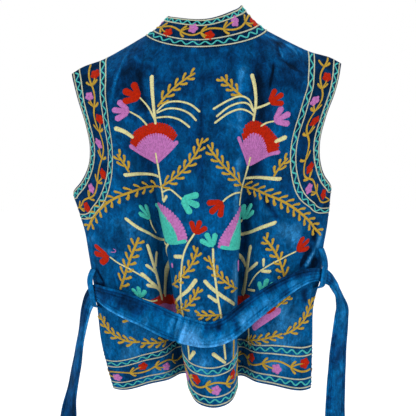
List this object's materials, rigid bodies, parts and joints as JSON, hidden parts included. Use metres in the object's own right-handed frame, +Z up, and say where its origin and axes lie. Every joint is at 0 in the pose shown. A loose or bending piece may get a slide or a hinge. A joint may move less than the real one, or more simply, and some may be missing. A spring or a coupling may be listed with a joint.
{
  "type": "embroidered velvet waistcoat",
  "caption": "Sleeveless blue velvet waistcoat with a stand collar, a deep organ-pipe fold at the back and a loose padded velvet belt, filled out as it is worn.",
  "frame": {"origin": "at the base of the neck, midway between the two points where the neckline meets the shoulder seams before the garment hangs askew", "axes": "+Z up along the wearer, from hem to collar; +Y to the wearer's front; +X to the wearer's right, which is on the right of a view from behind"},
  "size_m": [0.5468, 0.1955, 0.9483],
  "materials": {
    "body_velvet": "crushed velvet pile",
    "collar_velvet": "crushed velvet pile under embroidery",
    "belt_velvet": "crushed velvet pile, topstitched"
  },
  "bodies": {
    "root": {"back": "body_velvet", "front_left": "body_velvet", "front_right": "body_velvet", "collar": "collar_velvet", "belt_left": "belt_velvet", "belt_right": "belt_velvet", "belt_loop_left": "belt_velvet", "belt_loop_right": "belt_velvet"}
  },
  "joints": []
}
